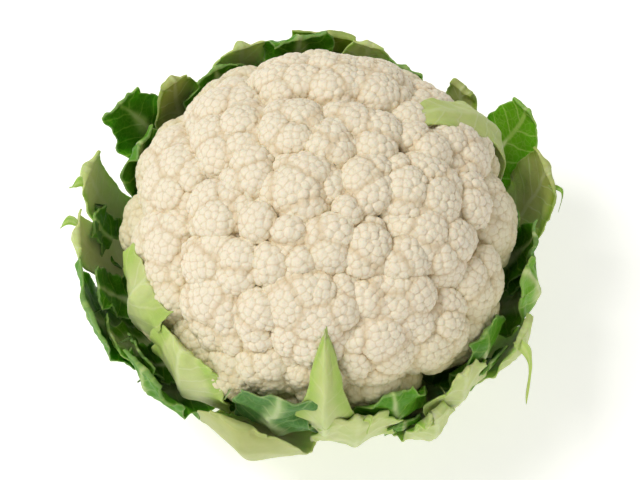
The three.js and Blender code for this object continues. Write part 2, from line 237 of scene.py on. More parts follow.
# ------------------------------------------------------------------------------------
# Florets
# ------------------------------------------------------------------------------------

SMOOTH_PASSES = 9
DOME_REACH = 0.78
DOME_SIZES = (0.8, 1.25)
GROOVE_SHARPNESS = 2.0


def curd_envelope():
    """The smooth outer skin that lies over all the florets, as a search tree."""
    skin = bmesh.new()
    for node in FLORETS:
        for vertex in frame["nodes"][node].data.vertices:
            skin.verts.new(vertex.co)
    bmesh.ops.remove_doubles(skin, verts=skin.verts, dist=0.01 * MM)
    bmesh.ops.convex_hull(skin, input=skin.verts)
    tree = bvhtree.BVHTree.FromBMesh(skin)
    skin.free()
    return tree


def remeshed(node, voxel):
    """A floret's solid on an even grid, with its facets smoothed away."""
    source = bpy.data.meshes.new("source")
    copy = merged_copy(node)
    copy.to_mesh(source)
    copy.free()
    holder = link_piece("holder", source)
    remesh = holder.modifiers.new("Remesh", "REMESH")
    remesh.mode = "VOXEL"
    remesh.voxel_size = voxel
    smooth = holder.modifiers.new("Smooth", "SMOOTH")
    smooth.factor = 0.5
    smooth.iterations = SMOOTH_PASSES
    graph = bpy.context.evaluated_depsgraph_get()
    mesh = bpy.data.meshes.new_from_object(holder.evaluated_get(graph))
    bpy.data.objects.remove(holder)
    return mesh


def scatter(places, spacing, rng):
    """Picks places so that no two picked are closer than the spacing."""
    tree = tree_of(places)
    order = list(range(len(places)))
    rng.shuffle(order)
    taken = np.zeros(len(places), bool)
    picked = []
    for index in order:
        if taken[index]:
            continue
        picked.append(index)
        for _, near, _ in tree.find_range(places[index], spacing):
            taken[near] = True
    return places[picked]


def dome_heights(places, seeds, radius, rng):
    """How high each place is on its nearest dome, and how near it is to the groove around that.

    Both run from 0 to 1: 1 on the top of a dome, and 1 in the groove between two domes.
    """
    tree = tree_of(seeds)
    sizes = [radius * rng.uniform(*DOME_SIZES) for _ in seeds]
    heights = np.empty(len(places))
    grooves = np.zeros(len(places))
    for index, place in enumerate(places):
        near = sorted(distance / sizes[seed] for _, seed, distance in tree.find_n(place, 3))
        heights[index] = math.sqrt(max(0.0, 1.0 - near[0] * near[0]))
        if len(near) > 1:
            grooves[index] = max(0.0, 1.0 - GROOVE_SHARPNESS * (near[1] - near[0]))
    return heights, grooves


def swell(mesh, spacing, height, rng):
    """Raises domes of one size all over a mesh and returns how near each vertex is to a groove."""
    places = vertex_places(mesh)
    seeds = scatter(places, spacing, rng)
    rise, grooves = dome_heights(places, seeds, DOME_REACH * spacing, rng)
    move_vertices(mesh, places + vertex_normals(mesh) * (rise * height)[:, None])
    return grooves


def depths_below(mesh, envelope):
    """How far each vertex lies below the curd's outer skin."""
    return np.array([envelope.find_nearest(place)[3] for place in vertex_places(mesh)])


def subdivide_outside(mesh, depths, limit):
    """Halves the faces that lie near the curd's outer skin."""
    fine = bmesh.new()
    fine.from_mesh(mesh)
    fine.verts.ensure_lookup_table()
    near = depths < limit
    edges = [e for e in fine.edges if near[e.verts[0].index] and near[e.verts[1].index]]
    bmesh.ops.subdivide_edges(fine, edges=edges, cuts=1, use_grid_fill=True)
    bmesh.ops.triangulate(fine, faces=[face for face in fine.faces if len(face.verts) > 4])
    fine.to_mesh(mesh)
    fine.free()
    mesh.update()


def neighbours_of(node, reach):
    """Search trees of the other florets that come within reach of one."""
    low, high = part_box(node)
    trees = []
    for other in FLORETS:
        other_low, other_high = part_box(other)
        apart = max(max(other_low[i] - high[i], low[i] - other_high[i]) for i in range(3))
        if other == node or apart > reach:
            continue
        solid = merged_copy(other)
        trees.append(bvhtree.BVHTree.FromBMesh(solid))
        solid.free()
    return trees


def gaps_beside(mesh, trees, reach):
    """How far each vertex is from the nearest other floret, and the reach where none is near."""
    gaps = np.full(len(mesh.vertices), reach)
    for index, place in enumerate(vertex_places(mesh)):
        for tree in trees:
            found = tree.find_nearest(place, gaps[index])
            if found[0] is not None:
                gaps[index] = found[3]
    return gaps


def model_floret(node, envelope, curd, material):
    """One floret: lobes, then knobs on the lobes, then beads on the knobs."""
    rng = random.Random(node)
    mesh = remeshed(node, curd.voxel)
    mesh.name = node.replace("floret", "curd")
    # The distance to the nearest other floret, which the material turns into painted shade in the
    # clefts.
    gaps = gaps_beside(mesh, neighbours_of(node, curd.cleft_reach), curd.cleft_reach)
    store_values(mesh, "gap", gaps / MM)
    move_vertices(mesh, vertex_places(mesh) - vertex_normals(mesh) * curd.inset)
    lobe_grooves = swell(mesh, curd.lobe_spacing, curd.lobe_height, rng)
    store_values(mesh, "lobe", lobe_grooves)
    subdivide_outside(mesh, depths_below(mesh, envelope), curd.fine_depth)
    knob_grooves = swell(mesh, curd.knob_spacing, curd.knob_height, rng)
    bead_grooves = swell(mesh, curd.bead_spacing, curd.bead_height, rng)
    store_values(mesh, "knob", knob_grooves)
    store_values(mesh, "bead", bead_grooves)
    store_values(mesh, "depth", depths_below(mesh, envelope) / MM)
    piece = link_piece(mesh.name, mesh)
    finish_piece(piece, node, material)


# ------------------------------------------------------------------------------------
# Leaves
# ------------------------------------------------------------------------------------

UP = Vector((0, 0, 1))
LEVEL_UP = np.array((0.0, 0.0, 1.0))
SWEEPS = np.radians(np.arange(-126.0, 86.0, 1.5))
TURN_STEP = math.radians(0.6)
SHOULDER = math.radians(22)
LEAF_GRID = (48, 76)
SHRED_GRID = (8, 40)
CURD_MIDDLE = 70 * MM
RING_RADIUS = 0.25
RING_HEIGHT = 0.5
ROW_CROWDING = 1.35
BLADE_STARTS = (0.45, 0.75)
TOP_TEETH = 0.35
RUFFLE_WAVE = 3.2 * MM
VEIN_WIDTH = 1.3 * MM
RIB_WIDTH = 2.6 * MM
THINNEST = 0.8 * MM
THICKEST = 9 * MM
EDGE_APART = 30 * MM
INNER_PASSES = 14


def curd_ring():
    """Radius and height of a ring inside the curd. Every leaf curves around this ring."""
    boxes = [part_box(node) for node in FLORETS]
    width = max(high[0] for _, high in boxes) - min(low[0] for low, _ in boxes)
    top = max(high[2] for _, high in boxes)
    return RING_RADIUS * width, RING_HEIGHT * top


def smoothstep(low, high, value):
    """0 below the low end, 1 above the high end and an even slope between them."""
    part = np.clip((value - low) / (high - low), 0.0, 1.0)
    return part * part * (3 - 2 * part)


def softened(values, passes):
    """A row of values with its jumps averaged away. The two ends stay."""
    for _ in range(passes):
        middle = 0.25 * values[:-2] + 0.5 * values[1:-1] + 0.25 * values[2:]
        values = np.concatenate((values[:1], middle, values[-1:]))
    return values


class LeafSolid:
    """A leaf's solid read by rays from the ring: where its inner face is, and its thickness."""

    def __init__(self, node, ring, passes=2):
        solid = merged_copy(node)
        tree = bvhtree.BVHTree.FromBMesh(solid)
        places = np.array([vertex.co[:] for vertex in solid.verts])
        solid.free()
        self.ring = ring
        # The stalk end of a leaf is left out, because the leaf's middle is read from its blade.
        spread = places[np.hypot(places[:, 0], places[:, 1]) > 1.5 * ring[0]]
        self.middle = math.atan2(spread[:, 1].mean(), spread[:, 0].mean())
        turns = np.arctan2(places[:, 1], places[:, 0]) - self.middle
        turns = (turns + math.pi) % (2 * math.pi) - math.pi
        self.turns = np.arange(turns.min() - TURN_STEP, turns.max() + 2 * TURN_STEP, TURN_STEP)
        self.read(tree, passes)

    def read(self, tree, passes):
        """Casts the rays and keeps the rows of them that meet the leaf."""
        reach = np.full((len(SWEEPS), len(self.turns)), np.nan)
        wall = np.full(reach.shape, np.nan)
        for row, sweep in enumerate(SWEEPS):
            for column, turn in enumerate(self.turns):
                out = Vector((math.cos(self.middle + turn), math.sin(self.middle + turn), 0))
                ray = out * math.cos(sweep) + UP * math.sin(sweep)
                start = out * self.ring[0] + UP * self.ring[1]
                place, normal, _, distance = tree.ray_cast(start, ray)
                if place is None:
                    continue
                thickness = tree.ray_cast(place + ray * 0.01 * MM, ray)[3] or 0.0
                reach[row, column] = distance
                wall[row, column] = thickness * abs(normal.dot(ray))
        met = ~np.isnan(reach)
        rows = np.flatnonzero(met.sum(axis=1) > 2)[1:-1]
        rows = np.arange(rows[0], rows[-1] + 1)
        rows = rows[met[rows].any(axis=1)]
        low = np.array([self.turns[met[row]].min() for row in rows])
        high = np.array([self.turns[met[row]].max() for row in rows])
        self.sweeps = SWEEPS[rows]
        self.low = softened(low, 3)
        self.high = softened(high, 3)
        self.reach = self.filled(reach, met, rows, passes)
        self.wall = self.filled(wall, met, rows, 5)

    def filled(self, values, met, rows, passes):
        """Rows of values carried over the turns that met nothing, then softened both ways."""
        kept = [np.interp(self.turns, self.turns[met[row]], values[row][met[row]]) for row in rows]
        kept = np.array([softened(row, passes) for row in kept])
        return np.array([softened(column, passes) for column in kept.T]).T

    def sample(self, values, turn, sweep):
        """Reads values between the rays. Past the edges it holds the value of the edge."""
        rows = (sweep - self.sweeps[0]) / (self.sweeps[1] - self.sweeps[0])
        rows = np.clip(rows, 0, len(self.sweeps) - 1.001)
        columns = np.clip((turn - self.turns[0]) / TURN_STEP, 0, len(self.turns) - 1.001)
        row, column = rows.astype(int), columns.astype(int)
        down, across = rows - row, columns - column
        first = values[row, column] * (1 - across) + values[row, column + 1] * across
        second = values[row + 1, column] * (1 - across) + values[row + 1, column + 1] * across
        return first * (1 - down) + second * down

    def places(self, turn, sweep, turned=0.0):
        """Points of the inner face, turned about the stalk's axis."""
        distance = self.sample(self.reach, turn, sweep)
        angle = self.middle + turn + turned
        radius = self.ring[0] + distance * np.cos(sweep)
        height = self.ring[1] + distance * np.sin(sweep)
        return np.stack((radius * np.cos(angle), radius * np.sin(angle), height), axis=-1)

    def width_at(self, sweep, square):
        """The turns of the two edges at a sweep. square widens the end like a straight cut."""
        low = np.interp(sweep, self.sweeps, self.low)
        high = np.interp(sweep, self.sweeps, self.high)
        shoulder = np.searchsorted(self.sweeps, self.sweeps[-1] - SHOULDER)
        past = square * (sweep > self.sweeps[shoulder])
        low = low + past * np.minimum(0, self.low[shoulder] - low)
        high = high + past * np.maximum(0, self.high[shoulder] - high)
        return low, high

    def line(self):
        """The distance along the middle line at each kept sweep."""
        points = self.places(0.5 * (self.low + self.high), self.sweeps)
        steps = np.linalg.norm(np.diff(points, axis=0), axis=1)
        return np.concatenate(([0.0], np.cumsum(steps)))


def waver(places, size, seed):
    """Smooth noise from -1 to 1 at each place, with waves of a given size."""
    shift = Vector((seed * 3.1, seed * 1.7, seed * 2.3))
    flat = places.reshape(-1, 3) / size
    values = [noise.noise(Vector(place) + shift) for place in flat]
    return np.array(values).reshape(places.shape[:-1])


def sheet_normals(places):
    """Unit normals of a grid of places, turned away from the middle of the curd."""
    down, across = np.gradient(places, axis=(0, 1))
    normals = np.cross(across, down)
    normals /= np.linalg.norm(normals, axis=-1, keepdims=True) + 1e-12
    outward = places.copy()
    outward[..., 2] -= CURD_MIDDLE
    facing = (normals * outward).sum(axis=-1).mean()
    return normals if facing > 0 else -normals


# How a leaf grew and was cut. green: where across it the green blade starts and is full, from
# 0 on the middle line to 1 at the edges. wing, longer, shorter: how much wider, longer and
# shorter it is than its solid, as parts of its size. teeth: how deep its edge is torn, as a part
# of its size. ruffle, crumple: waves of its edge and blade. lip: how far its end curls out.
# bend: how far along it the lip starts. inset: how far it lies inside its solid. thickest: its
# wall. rib, bulge: how far its middle line and its middle stand out. These seven lengths are
# millimetres. square: 1 where the end is cut straight. veined: how strong its veins are.
# turned: how far round the stalk it is turned.
LEAF_LOOK = dict(
    green=(0.7, 1.2), wing=0.1, longer=0.03, shorter=0.0, teeth=0.05, ruffle=1.0, crumple=0.4,
    lip=0.0,
    bend=0.86, square=0.3, turned=0.0, inset=0.0, thickest=9.0, veined=1.0, rib=1.0, bulge=0.0,
)
BLADE_LOOKS = {
    "leaf_pale": dict(green=(0.75, 1.25), ruffle=0.9, crumple=0.35, teeth=0.05),
    "leaf_olive": dict(green=(0.75, 1.25), ruffle=0.8, crumple=0.35, teeth=0.05),
    "leaf_bright": dict(green=(0.3, 0.7), wing=0.15, ruffle=1.4, crumple=0.7, teeth=0.08),
    "leaf_dark": dict(green=(0.08, 0.32), wing=0.2, ruffle=2.4, crumple=1.1, teeth=0.11),
    "leaf_bluish": dict(green=(0.1, 0.4), wing=0.2, ruffle=1.6, crumple=0.9, teeth=0.08),
}
LEAF_LOOKS = {
    "leaf_back_crumpled": dict(ruffle=3.0, lip=-5.0, square=0.6),
    "leaf_back_ribbed": dict(green=(0.3, 0.5), ruffle=1.6, wing=0.3, square=0.6),
    "leaf_back_rounded": dict(lip=-2.0),
    "leaf_over_curd": dict(
        green=(0.8, 1.3), ruffle=0.6, wing=0.0, lip=-5.0, crumple=0.3, square=0.0,
    ),
    "leaf_right_flat": dict(ruffle=0.6, crumple=0.4, green=(0.0, 0.08), wing=0.1),
    "leaf_right_olive": dict(green=(0.85, 1.2), crumple=0.6, square=0.5),
    "leaf_right_toothed": dict(
        teeth=0.14, ruffle=1.6, lip=-7.0, bend=0.7, green=(0.1, 0.5), longer=0.08, crumple=1.2,
    ),
    "leaf_left_folded": dict(longer=0.06, lip=-2.0),
    "leaf_front_outer": dict(
        green=(1.2, 1.8), ruffle=0.1, crumple=0.15, teeth=0.02, square=0.2, veined=0.0, rib=0.0,
        bulge=2.5,
    ),
    "leaf_front_right_wavy": dict(ruffle=2.2, teeth=0.12),
    "leaf_front_cups": dict(ruffle=3.0, teeth=0.14),
    "leaf_front_upright": dict(
        green=(0.3, 0.9), wing=0.0, ruffle=0.5, square=0.0, teeth=0.1, rib=2.6, veined=0.6,
    ),
    "leaf_front_stub": dict(teeth=0.2, ruffle=2.0, square=0.8, crumple=0.9, veined=0.5),
    "leaf_front_folded": dict(lip=2.5, ruffle=2.0, square=0.8),
    "leaf_left_cup": dict(
        teeth=0.1, ruffle=1.2, green=(0.3, 0.9), square=1.0, longer=0.12, lip=-1.5, wing=0.1,
    ),
    "leaf_left_winged": dict(green=(0.6, 0.85), ruffle=1.8, square=0.6),
    "leaf_left_square": dict(square=1.0, ruffle=1.2, teeth=0.05, wing=0.35),
    "leaf_left_yellow": dict(square=0.8, green=(0.9, 1.4), bulge=1.5, veined=0.5, wing=-0.25),
    "leaf_left_stub": dict(square=0.9, crumple=0.6, bulge=1.5, veined=0.5, wing=-0.2),
    "leaf_back_left_arched": dict(square=0.6, lip=-2.0),
}
INNER_LOOK = dict(
    ruffle=1.3, crumple=1.2, teeth=0.16, inset=4.5, thickest=1.0, square=0.4, wing=-0.25,
    longer=0.0, shorter=0.09, rib=0.4,
)

# The leaf beside which each inner blade shows, how far round it is turned, and its colour.
INNER_BLADES = {
    "leaf_left_stub": (9, "leaf_dark"),
    "leaf_left_yellow": (12, "leaf_dark"),
    "leaf_left_square": (7, "leaf_bright"),
    "leaf_left_dark": (-8, "leaf_dark"),
    "leaf_left_winged": (9, "leaf_dark"),
    "leaf_front_stub": (8, "leaf_bright"),
    "leaf_front_right_stub": (-7, "leaf_dark"),
    "leaf_right_low": (-9, "leaf_dark"),
    "leaf_right_toothed": (8, "leaf_dark"),
    "leaf_right_pointed": (7, "leaf_dark"),
    "leaf_back_olive": (9, "leaf_dark"),
    "leaf_back_ribbed": (-8, "leaf_dark"),
    "leaf_back_left_arched": (9, "leaf_dark"),
    "leaf_back_left_hollow": (-9, "leaf_bright"),
}

# The leaf that each shred hangs from, where across its end, how far round the shred is turned,
# its length, width and drop in millimetres, and its colour.
SHREDS = {
    "shred_right_long": ("leaf_right_low", -0.9, -30, (26, 6, 34), "leaf_pale"),
    "shred_right_tail": ("leaf_right_olive", -0.95, -65, (15, 3, 9), "leaf_dark"),
    "shred_left_curl": ("leaf_left_stub", 0.95, 20, (12, 5, 6), "leaf_bright"),
    "shred_left_torn": ("leaf_left_yellow", -0.95, -15, (14, 6, 7), "leaf_bright"),
    "shred_front": ("leaf_front_stub", 0.9, 20, (10, 5, 3), "leaf_pale"),
}


def leaf_look(node):
    """How a leaf looks: what leaves of its colour share, then what is its own."""
    return {**LEAF_LOOK, **BLADE_LOOKS[SLOT_OF[node]], **LEAF_LOOKS.get(node, {})}


def grid_shell(name, grid):
    """A flat closed sheet of square cells, with the grid row, column and side of each vertex."""
    shape = bmesh.new()
    bmesh.ops.create_grid(shape, x_segments=grid[0], y_segments=grid[1], size=0.5)
    bmesh.ops.solidify(shape, geom=shape.faces[:], thickness=0.1)
    mesh = bpy.data.meshes.new(name)
    shape.to_mesh(mesh)
    shape.free()
    flat = vertex_places(mesh)
    column = np.rint((flat[:, 0] + 0.5) * grid[0]).astype(int)
    row = np.rint((flat[:, 1] + 0.5) * grid[1]).astype(int)
    return mesh, row, column, flat[:, 2] < -0.05


def shell_between(name, inner, outer):
    """A closed sheet whose two faces run through two grids of places."""
    rows, columns = inner.shape[0] - 1, inner.shape[1] - 1
    mesh, row, column, outside = grid_shell(name, (columns, rows))
    move_vertices(mesh, np.where(outside[:, None], outer[row, column], inner[row, column]))
    shape = bmesh.new()
    shape.from_mesh(mesh)
    bmesh.ops.recalc_face_normals(shape, faces=shape.faces)
    shape.to_mesh(mesh)
    shape.free()
    return mesh, row, column, outside


def vein_heights(along, across, seed, spacing):
    """From 1 on a side vein down to 0 beside it. Side veins leave the middle line in pairs."""
    lean = 0.85 * np.abs(across) - 5.0 * across * across
    wander = 1.5 * MM * np.sin(across / (7 * MM) + seed) + np.where(across > 0, 0.4, 0.0) * spacing
    place = (along - lean + wander) / spacing
    gap = np.abs(place - np.rint(place)) * spacing
    return np.exp(-((gap / VEIN_WIDTH) ** 2))


def leaf_sheet(solid, look, seed, u, t):
    """Where a leaf's inner face lies before it is ruffled, and how far along it each place is.

    u runs across the leaf from -1 to 1 and t along it from 0 to 1.
    """
    line = solid.line()
    length = line[-1]
    v = 1 - (1 - t) ** ROW_CROWDING
    blade = smoothstep(*BLADE_STARTS, v)
    sweep = np.interp(v * length, line, solid.sweeps)
    low, high = solid.width_at(sweep, look["square"])
    half = 0.5 * (high - low) * (solid.ring[0] + solid.sample(solid.reach, 0 * sweep, sweep))
    side = np.stack((v * length, np.sign(u) * EDGE_APART, 0 * u), axis=-1)
    top = np.stack((u * half, 0 * u, 0 * u), axis=-1)
    tooth_side = waver(side, 6 * MM, seed) + 0.6 * waver(side, 2.4 * MM, seed + 5)
    tooth_top = waver(top, 8 * MM, seed + 9) + 0.5 * waver(top, 3 * MM, seed + 14)
    wide = u * (1 + blade * (look["wing"] + look["teeth"] * tooth_side))
    end = look["longer"] + TOP_TEETH * look["teeth"] * tooth_top
    far = v * (1 - look["shorter"] + v**8 * end)
    sweep = np.interp(far * length, line, solid.sweeps)
    sweep += np.maximum(far - 1, 0) * length / (60 * MM)
    low, high = solid.width_at(sweep, look["square"])
    turn = 0.5 * (low + high) + 0.5 * (high - low) * wide
    return turn, sweep, v, blade, length


def shape_leaf(name, solid, look, seed, settings):
    """A leaf's closed mesh: its sheet ruffled, crumpled, veined and given its thickness."""
    columns, rows = LEAF_GRID
    u, t = np.meshgrid(np.linspace(-1, 1, columns + 1), np.linspace(0, 1, rows + 1))
    turn, sweep, v, blade, length = leaf_sheet(solid, look, seed, u, t)
    places = solid.places(turn, sweep, look["turned"])
    normals = sheet_normals(places)
    half = 0.5 * np.linalg.norm(places[:, -1] - places[:, 0], axis=-1)[:, None]
    across = u * np.maximum(half, 8 * MM)
    along = v * length
    side = np.stack((along, np.sign(u) * EDGE_APART, 0 * u), axis=-1)
    phase = seed + np.where(u > 0, 2.0, 0.0) + 1.6 * waver(side, 22 * MM, seed + 20)
    ruffle = look["ruffle"] * np.abs(u) ** 2.5 * blade * np.sin(along / RUFFLE_WAVE + phase)
    crumple = waver(places, 9 * MM, seed) + 0.5 * waver(places, 4 * MM, seed + 3)
    crumple = look["crumple"] * crumple * blade
    lip = look["lip"] * smoothstep(look["bend"], 1.0, v) ** 2 - look["inset"]
    veins = vein_heights(along, across, seed, settings.vein_spacing)
    veins = veins * settings.vein_height * blade * look["veined"]
    shift = (ruffle + crumple + lip) * MM
    wall = np.clip(solid.sample(solid.wall, turn, sweep) - 1.0 * MM, THINNEST, THICKEST)
    wall = np.minimum(wall, look["thickest"] * MM) * (1 - 0.3 * np.abs(u) ** 8)
    rib = look["rib"] * np.exp(-((across / RIB_WIDTH) ** 2)) * (1 - v**6)
    wall = wall + (rib + look["bulge"] * (1 - u * u) * (1 - v**4)) * smoothstep(0.2, 0.6, v) * MM
    inner = places + normals * (shift - 0.35 * veins)[..., None]
    outer = places + normals * (shift + wall + veins)[..., None]
    mesh, row, column, outside = shell_between(name, inner, outer)
    start, full = look["green"]
    spread = np.abs(u) + 0.5 * (v - 0.7) + 0.2 * waver(places, 11 * MM, seed + 30)
    green = smoothstep(start, full, spread) * smoothstep(0.3, 0.6, v)
    rim = np.minimum((1 - np.abs(u)) * half, (1 - v) * length)
    store_values(mesh, "green", green[row, column])
    store_values(mesh, "veined", look["veined"] + 0 * v[row, column])
    store_values(mesh, "along", along[row, column] / MM)
    store_values(mesh, "across", across[row, column] / MM)
    store_values(mesh, "rim", rim[row, column] / MM)
    store_values(mesh, "outside", outside.astype(float))
    return mesh


def model_leaf(node, ring, settings, materials):
    """The piece that stands for a leaf's solid."""
    solid = LeafSolid(node, ring)
    seed = random.Random(node).uniform(0, 50)
    mesh = shape_leaf(node, solid, leaf_look(node), seed, settings)
    piece = link_piece(node.replace("leaf", "blade"), mesh)
    finish_piece(piece, node, materials[SLOT_OF[node]])


def model_inner_blade(node, turned, slot, ring, settings, materials):
    """A torn blade of an inner leaf, which shows beside a leaf and between it and the curd."""
    solid = LeafSolid(node, ring, INNER_PASSES)
    name = node.replace("leaf", "inner")
    look = {**LEAF_LOOK, **BLADE_LOOKS[slot], **INNER_LOOK, "turned": math.radians(turned)}
    mesh = shape_leaf(name, solid, look, random.Random(name).uniform(0, 50), settings)
    finish_extra(link_piece(name, mesh), slot, materials)


def model_shred(name, node, start, turned, size, slot, ring, materials):
    """A torn strip that hangs from the end of a leaf. size is its length, width and drop."""
    solid = LeafSolid(node, ring)
    length, width, drop = (value * MM for value in size)
    columns, rows = SHRED_GRID
    u, t = np.meshgrid(np.linspace(-1, 1, columns + 1), np.linspace(0, 1, rows + 1))
    low, high = solid.width_at(solid.sweeps[-1:], 0.0)
    turn = 0.5 * (low + high) + 0.5 * (high - low) * start
    root = solid.places(turn, solid.sweeps[-1:])[0]
    angle = solid.middle + turn[0] + math.radians(turned)
    out = np.array((math.cos(angle), math.sin(angle), 0.0))
    beside = np.array((-math.sin(angle), math.cos(angle), 0.0))
    seed = random.Random(name).uniform(0, 50)
    line = root + out * (length * t * (1 - 0.35 * t))[..., None]
    line = line + LEVEL_UP * (4 * MM * np.sin(3 * t) - drop * t * t)[..., None]
    line = line + beside * (2.5 * MM * np.sin(5 * t + seed) * t)[..., None]
    twist = 1.3 * np.sin(2.6 * t + seed)
    torn = 1 + 0.35 * waver(np.stack((t * length, np.sign(u), 0 * u), axis=-1), 4 * MM, seed)
    reach = u * 0.5 * width * torn * (1 - t) ** 0.6 * np.minimum(1, 0.5 + 3 * t)
    cross = beside * np.cos(twist)[..., None] + LEVEL_UP * np.sin(twist)[..., None]
    inner = line + cross * reach[..., None] + LEVEL_UP * (0.6 * MM * np.abs(u) ** 2)[..., None]
    outer = inner + np.cross(cross, out) * (0.7 * MM * (1 - 0.6 * t))[..., None]
    mesh, row, column, outside = shell_between(name, inner, outer)
    store_values(mesh, "green", np.clip(0.25 + 0.7 * t[row, column], 0, 1))
    store_values(mesh, "veined", 1 + 0 * t[row, column])
    store_values(mesh, "along", 100 + 0 * t[row, column])
    store_values(mesh, "across", u[row, column] * 3)
    store_values(mesh, "rim", 2 * (1 - np.abs(u[row, column])))
    store_values(mesh, "outside", outside.astype(float))
    finish_extra(link_piece(name, mesh), slot, materials)


def finish_extra(piece, slot, materials):
    """Finishes a piece that stands for no solid."""
    piece.data.polygons.foreach_set("use_smooth", [True] * len(piece.data.polygons))
    piece.data.materials.append(materials[slot])
    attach(piece, BODY)


# ------------------------------------------------------------------------------------
# Stalk
# ------------------------------------------------------------------------------------

STALK_VOXEL = 1.1 * MM
STALK_RELIEF = 0.6 * MM


def model_stalk(node, material):
    """The stalk: its solid made round, with leaf scars and fibres, and its cut face kept flat."""
    mesh = remeshed(node, STALK_VOXEL)
    mesh.name = "cut_stalk"
    places = vertex_places(mesh)
    angle = np.arctan2(places[:, 1], places[:, 0])
    fibres = np.stack((angle * 0.5, places[:, 2] * 0.1, 0 * angle), axis=-1)
    rise = 0.5 * waver(fibres, 0.05, 3.0) + 0.8 * waver(places, 9 * MM, 5.0)
    scars = np.sin(places[:, 2] / (2.6 * MM) + 2.5 * np.sin(2.5 * angle))
    rise = (rise + 0.35 * scars) * smoothstep(0.6 * MM, 4 * MM, places[:, 2])
    places += vertex_normals(mesh) * (rise * STALK_RELIEF)[:, None]
    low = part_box(node)[0][2]
    foot = places[:, 2] < low + 0.7 * MM
    places[foot, 2] = low
    move_vertices(mesh, places)
    finish_piece(link_piece(mesh.name, mesh), node, material)


# ------------------------------------------------------------------------------------
# Materials
# ------------------------------------------------------------------------------------


def new_material(name):
    """An empty material with its Principled shader, and its node tree."""
    material = bpy.data.materials.new(name)
    material.use_nodes = True
    tree = material.node_tree
    shader = tree.nodes["Principled BSDF"]
    return material, tree, shader


def mapped(tree, value, low, high, to_low=0.0, to_high=1.0):
    """A value carried from one range to another and held inside it."""
    node = tree.nodes.new("ShaderNodeMapRange")
    node.inputs["From Min"].default_value = low
    node.inputs["From Max"].default_value = high
    node.inputs["To Min"].default_value = to_low
    node.inputs["To Max"].default_value = to_high
    tree.links.new(value, node.inputs["Value"])
    return node.outputs["Result"]


def blended(tree, factor, first, second):
    """Two colours mixed by a factor. Each is a colour or a socket."""
    node = tree.nodes.new("ShaderNodeMix")
    node.data_type = "RGBA"
    tree.links.new(factor, node.inputs["Factor"])
    for socket, colour in ((node.inputs[6], first), (node.inputs[7], second)):
        if isinstance(colour, bpy.types.NodeSocket):
            tree.links.new(colour, socket)
        else:
            socket.default_value = (*colour, 1.0)
    return node.outputs[2]


def attribute(tree, name):
    """The value of a vertex attribute."""
    node = tree.nodes.new("ShaderNodeAttribute")
    node.attribute_name = name
    return node.outputs["Fac"]


LOW_TINT = (0.62, 0.58, 0.24)
LOW_HEIGHTS = (0.112, 0.07)


def roughen(tree, shader, height, strength, distance, invert=False):
    """Bends a shader's normals as a fine relief would."""
    bump = tree.nodes.new("ShaderNodeBump")
    bump.invert = invert
    bump.inputs["Strength"].default_value = strength
    bump.inputs["Distance"].default_value = distance
    tree.links.new(height, bump.inputs["Height"])
    tree.links.new(bump.outputs["Normal"], shader.inputs["Normal"])


def object_places(tree):
    """The place on the object as one socket, and its three parts."""
    places = tree.nodes.new("ShaderNodeTexCoord").outputs["Object"]
    split = tree.nodes.new("ShaderNodeSeparateXYZ")
    tree.links.new(places, split.inputs[0])
    return places, split.outputs["X"], split.outputs["Y"], split.outputs["Z"]


def curd_material(curd):
    """Cream flesh with painted shade: a darker, warmer colour in the grooves and between florets,
    and a still darker one deep in the clefts.
    """
    material, tree, shader = new_material("curd")
    # Painted shade: the grooves between lobes, knobs and beads, the clefts beside other florets
    # and the places deep below the curd's skin are darkened.
    crease = mapped(tree, attribute(tree, "lobe"), 0.35, 1.0, 0.0, 0.6)
    groove = mapped(tree, attribute(tree, "knob"), 0.3, 1.0, 0.0, 0.55)
    pit = mapped(tree, attribute(tree, "bead"), 0.4, 1.0, 0.0, 0.25)
    cleft = mapped(tree, attribute(tree, "gap"), 2.6, 0.6, 0.0, 0.75)
    colour = blended(tree, groove, curd.cream, curd.tan)
    colour = blended(tree, pit, colour, curd.tan)
    colour = blended(tree, crease, colour, curd.tan)
    colour = blended(tree, cleft, colour, curd.tan)
    deep = mapped(tree, attribute(tree, "depth"), 6.0, 14.0)
    colour = blended(tree, deep, colour, curd.cleft_shade_and_speck)
    places, _, _, height = object_places(tree)
    low = mapped(tree, height, *LOW_HEIGHTS, 0.0, 0.75)
    colour = blended(tree, low, colour, LOW_TINT)
    # Random darker specks, which are the curd's own colour.
    speck = mapped(tree, noise_value(tree, places, 330.0), 0.72, 0.78, 0.0, 0.45)
    colour = blended(tree, speck, colour, curd.cleft_shade_and_speck)
    tree.links.new(colour, shader.inputs["Base Color"])
    cells = tree.nodes.new("ShaderNodeTexVoronoi")
    cells.inputs["Scale"].default_value = 780.0
    tree.links.new(places, cells.inputs["Vector"])
    roughen(tree, shader, cells.outputs["Distance"], 0.35, 0.5 * MM, invert=True)
    shader.inputs["Roughness"].default_value = 0.6
    shader.inputs["Subsurface Weight"].default_value = 0.2
    shader.inputs["Subsurface Radius"].default_value = (1.0, 0.6, 0.35)
    shader.inputs["Subsurface Scale"].default_value = 1.2 * MM
    return material


PITH = (0.72, 0.70, 0.44)
PITH_SHADE = (0.60, 0.60, 0.30)
PITH_RING = (0.42, 0.46, 0.16)
PITH_RADIUS = 16 * MM
STALK_SKIN = (0.52, 0.60, 0.27)
STALK_SHADE = (0.38, 0.48, 0.16)


